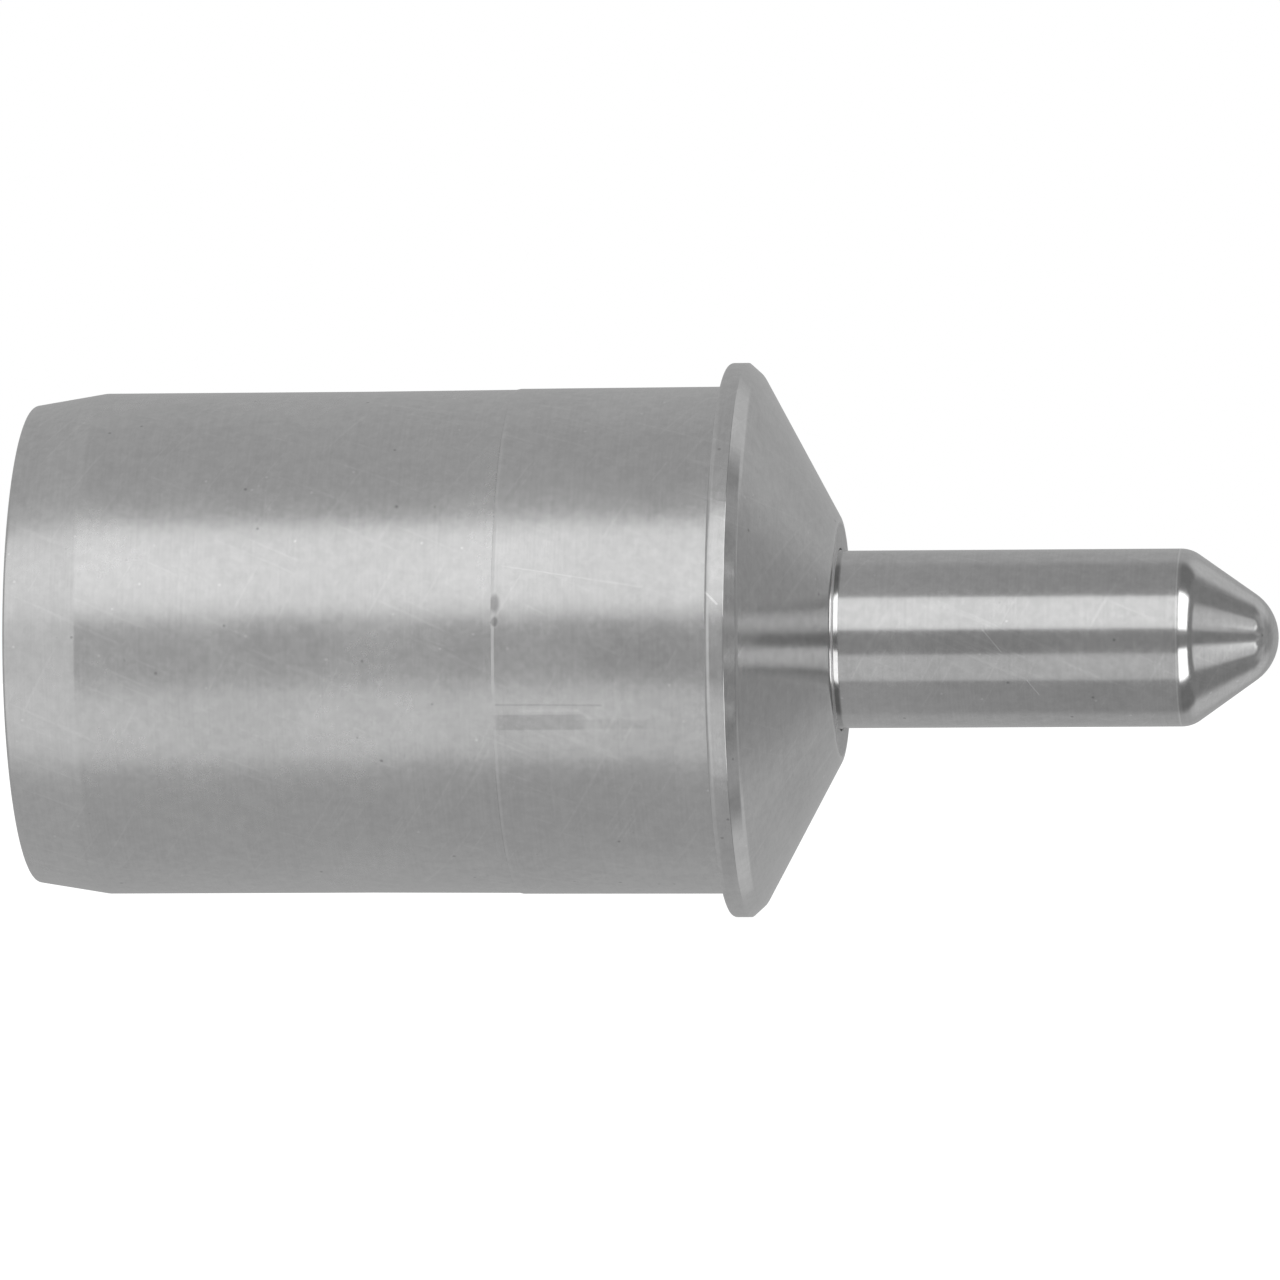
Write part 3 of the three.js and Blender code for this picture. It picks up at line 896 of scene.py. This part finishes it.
def make_ball_bearing():
    """Ball bearing on the spindle's tail: two grooved rings, a cage and balls."""
    rear, front, outer = extent("ball_bearing_outer_ring")
    middle = (rear + front) / 2
    inner = 6.85
    open_angle = math.degrees(math.acos((inner - BALL_PITCH) / RACE_RADIUS))
    corners = [(rear, inner, EDGE), (rear, outer, 0.3), (front, outer, 0.3), (front, inner, EDGE)]
    section = rounded(corners)
    section += race(middle, BALL_PITCH, 90 - open_angle, 90 + open_angle)
    piece = turned("ball_bearing_outer_ring_fine", section, bearing_steel)
    stand_for(piece, "quill", "bearing_steel", "ball_bearing_outer_ring")

    outer = extent("ball_bearing_inner_ring")[2]
    bore = TAIL_RADIUS + FIT
    open_angle = math.degrees(math.acos((BALL_PITCH - outer) / RACE_RADIUS))
    corners = [(front, outer, EDGE), (front, bore, 0.2), (rear, bore, 0.2), (rear, outer, EDGE)]
    section = rounded(corners) + race(middle, BALL_PITCH, 270 - open_angle, 270 + open_angle)
    piece = turned("ball_bearing_inner_ring_fine", section, bearing_steel)
    stand_for(piece, "spindle", "bearing_steel", "ball_bearing_inner_ring")
    make_ball_set("ball_bearing_cage", "bearing_ball", "ball_set", inner=5.5, outer=6.5)


def make_ball(name, x, turn, radius):
    """A ball of a bearing, at its place round the axis."""
    bm = bmesh.new()
    bmesh.ops.create_icosphere(bm, subdivisions=4, radius=radius * MM)
    place = turn @ Matrix.Translation((x * MM, 0, BALL_PITCH * MM))
    bmesh.ops.transform(bm, matrix=place, verts=bm.verts)
    return to_object(name, bm, bearing_steel)


def make_ball_set(cage_node, ball_node, body, inner, outer):
    """A brass cage and its balls."""
    rear, front, _ = extent(cage_node)
    middle = (rear + front) / 2
    cage = turned(f"{cage_node}_fine", rounded(ring_corners(rear, front, inner, outer, 0.08)), brass)
    pocket_radius = BALL_RADIUS + 0.1
    nodes = [f"{ball_node}_{number}" for number in range(1, BALL_COUNT + 1)]
    cut(cage, [make_ball("pocket", middle, turn_to(node), pocket_radius) for node in nodes], 0.04)
    stand_for(cage, body, "brass", cage_node)
    for node in nodes:
        ball = make_ball(f"{node}_fine", middle, turn_to(node), BALL_RADIUS)
        stand_for(ball, body, "bearing_steel", node)


def make_thrust_bearing():
    """Thrust bearing behind the spacer: two grooved washers, a cage and balls."""
    cage_rear, cage_front, _ = extent("thrust_bearing_cage")
    middle = (cage_rear + cage_front) / 2
    rear, front, outer = extent("thrust_shaft_washer")
    inner = TAIL_RADIUS + FIT
    open_angle = math.degrees(math.acos((rear - middle) / RACE_RADIUS))
    corners = [(rear, outer, EDGE), (front, outer, 0.2), (front, inner, 0.2), (rear, inner, EDGE)]
    section = rounded(corners) + race(middle, BALL_PITCH, -open_angle, open_angle)
    piece = turned("thrust_shaft_washer_fine", section, bearing_steel)
    stand_for(piece, "spindle", "bearing_steel", "thrust_shaft_washer")

    rear, front, outer = extent("thrust_housing_washer")
    inner = 4.3
    open_angle = math.degrees(math.acos((middle - front) / RACE_RADIUS))
    corners = [(front, inner, EDGE), (rear, inner, 0.2), (rear, outer, 0.2), (front, outer, EDGE)]
    section = rounded(corners) + race(middle, BALL_PITCH, 180 - open_angle, 180 + open_angle)
    piece = turned("thrust_housing_washer_fine", section, bearing_steel)
    stand_for(piece, "quill", "bearing_steel", "thrust_housing_washer")
    make_ball_set("thrust_bearing_cage", "thrust_ball", "thrust_set", inner=4.3, outer=7.7)


# ---- Spindle ----
def make_center_point():
    """Spindle with its tail, journal and slim point, which ends in a cone with a ball end."""
    rear, tip, _ = extent("center_point")
    nose_front = extent("nose_body")[1]
    journal_rear = extent("ball_bearing_inner_ring")[1] + 0.1
    clip_rear, clip_front, _ = extent("tail_retaining_ring")
    groove = 3.6
    fillet = 1.0
    fillet_sweep = math.degrees(math.acos(1 - (NECK_RADIUS - POINT_RADIUS) / fillet))
    fillet_x = nose_front + 0.36
    neck_rear = extent("wiper_seal")[1]
    shoulder = 2.0
    cone = math.degrees(POINT_CONE_ANGLE)
    tangent = shoulder * math.tan(POINT_CONE_ANGLE / 2)
    tail = [
        (rear, 0, 0),
        (rear, TAIL_RADIUS, 0.4),
        (clip_rear - FIT, TAIL_RADIUS, 0.05),
        (clip_rear - FIT, groove, 0.05),
        (clip_front + FIT, groove, 0.05),
        (clip_front + FIT, TAIL_RADIUS, 0.05),
        (journal_rear, TAIL_RADIUS, 0.2),
        (journal_rear, JOURNAL_RADIUS, 0.3),
        (neck_rear, JOURNAL_RADIUS, 0.05),
        (neck_rear, NECK_RADIUS, 0),
    ]
    section = rounded(tail, closed=False)
    section += arc(fillet_x, POINT_RADIUS + fillet, fillet, 270 - fillet_sweep, 270)
    section += arc(POINT_CONE_X - tangent, POINT_RADIUS - shoulder, shoulder, 90, 90 - cone)
    section += arc(tip - POINT_NOSE_RADIUS, 0, POINT_NOSE_RADIUS, 90 - cone, 0, 20)[:-1]
    section.append((tip, 0))
    piece = turned("center_point_fine", section, point_steel, SEGMENTS, closed=False)
    stand_for(piece, "spindle", "point_steel", "center_point")


def make_plain_ring(node, body, inner):
    """A plain ring of dark steel."""
    rear, front, outer = extent(node)
    section = rounded(ring_corners(rear, front, inner, outer))
    stand_for(turned(f"{node}_fine", section, dark_steel), body, "dark_steel", node)


# ---- Spring ----
def make_spring():
    """Compression spring with closed ends."""
    wire, radius, turns = 1.1, 11.1, 7
    seat_rear, seat_front = -37.3, -12.7  # on the spring washer and on the quill
    closed_pitch = 2 * wire + 3 * FIT
    steps, sides = 72, 20
    first, last = seat_rear + wire, seat_front - wire  # ends of the wire's middle line
    open_turns = turns - 2
    open_pitch = (last - first - 2 * closed_pitch) / open_turns
    bm = bmesh.new()
    rings = []
    for k in range(turns * steps + 1):
        turn = k / steps
        opened = min(max(turn - 1, 0), open_turns)
        x = first + closed_pitch * (turn - opened) + open_pitch * opened
        angle = 2 * math.pi * turn
        ring = []
        for j in range(sides):
            a = 2 * math.pi * j / sides
            reach = radius + wire * math.cos(a)
            place = (x + wire * math.sin(a), reach * math.cos(angle), reach * math.sin(angle))
            ring.append(bm.verts.new(Vector(place) * MM))
        rings.append(ring)
    for one, two in zip(rings, rings[1:]):
        for j in range(sides):
            follow = (j + 1) % sides
            bm.faces.new((one[j], one[follow], two[follow], two[j]))
    bm.faces.new(rings[0])
    bm.faces.new(rings[-1])
    piece = to_object("coil_spring_fine", bm, spring_steel)
    stand_for(piece, "housing", "spring_steel", "coil_spring")
    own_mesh(piece)


make_nose_body()
make_rear_sleeve()
make_adjusting_plug()
make_lock_ring()
make_wiper_seal()
make_needle_bearing()
make_quill()
make_retaining_ring("quill_retaining_ring", "quill", inner=7.0, lug_inner=6.1)
make_ball_bearing()
make_thrust_bearing()
make_center_point()
make_plain_ring("spacer_sleeve", "spindle", inner=TAIL_RADIUS + FIT)
make_plain_ring("tail_washer", "spindle", inner=TAIL_RADIUS + FIT)
make_retaining_ring("tail_retaining_ring", "spindle", inner=3.65, lug_inner=3.65)
make_plain_ring("spring_washer", "housing", inner=9.5)
make_spring()
